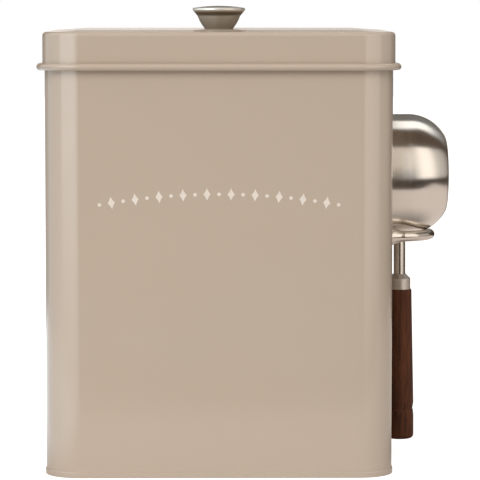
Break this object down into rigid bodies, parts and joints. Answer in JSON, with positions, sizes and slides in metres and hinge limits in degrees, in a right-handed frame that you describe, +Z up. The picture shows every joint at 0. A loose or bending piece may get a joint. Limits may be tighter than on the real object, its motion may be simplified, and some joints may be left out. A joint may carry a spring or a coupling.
{
  "type": "laundry powder tin",
  "caption": "Rounded rectangular painted steel tin with a knobbed slip-on lid, and a wooden-handled steel scoop hung in a rod loop on its side.",
  "frame": {"origin": "middle of the tin's base, on the surface that it stands on", "axes": "+Z up, front faces -Y, the scoop hangs on the +X side"},
  "size_m": [0.2298, 0.169, 0.2564],
  "materials": {
    "paint": "satin powder coat",
    "polished_steel": "polished",
    "brushed_steel": "fine brushed",
    "zinc": "zinc plated",
    "wood": "dark oiled"
  },
  "bodies": {
    "tin": {"tin_body": "paint", "tin_bottom": "paint", "scoop_bowl": "polished_steel", "scoop_neck": "polished_steel", "scoop_ferrule": "brushed_steel", "scoop_handle": "wood", "holder_loop": "polished_steel", "holder_screws": "zinc", "holder_washers": "zinc"},
    "lid": {"lid": "paint", "knob": "polished_steel", "knob_screw": "zinc", "knob_washer": "zinc"}
  },
  "joints": [
    {"name": "lid_lift", "type": "slide", "parent": "tin", "child": "lid", "axis": [0, 0, 1], "range_m": [0, 0.12]}
  ]
}
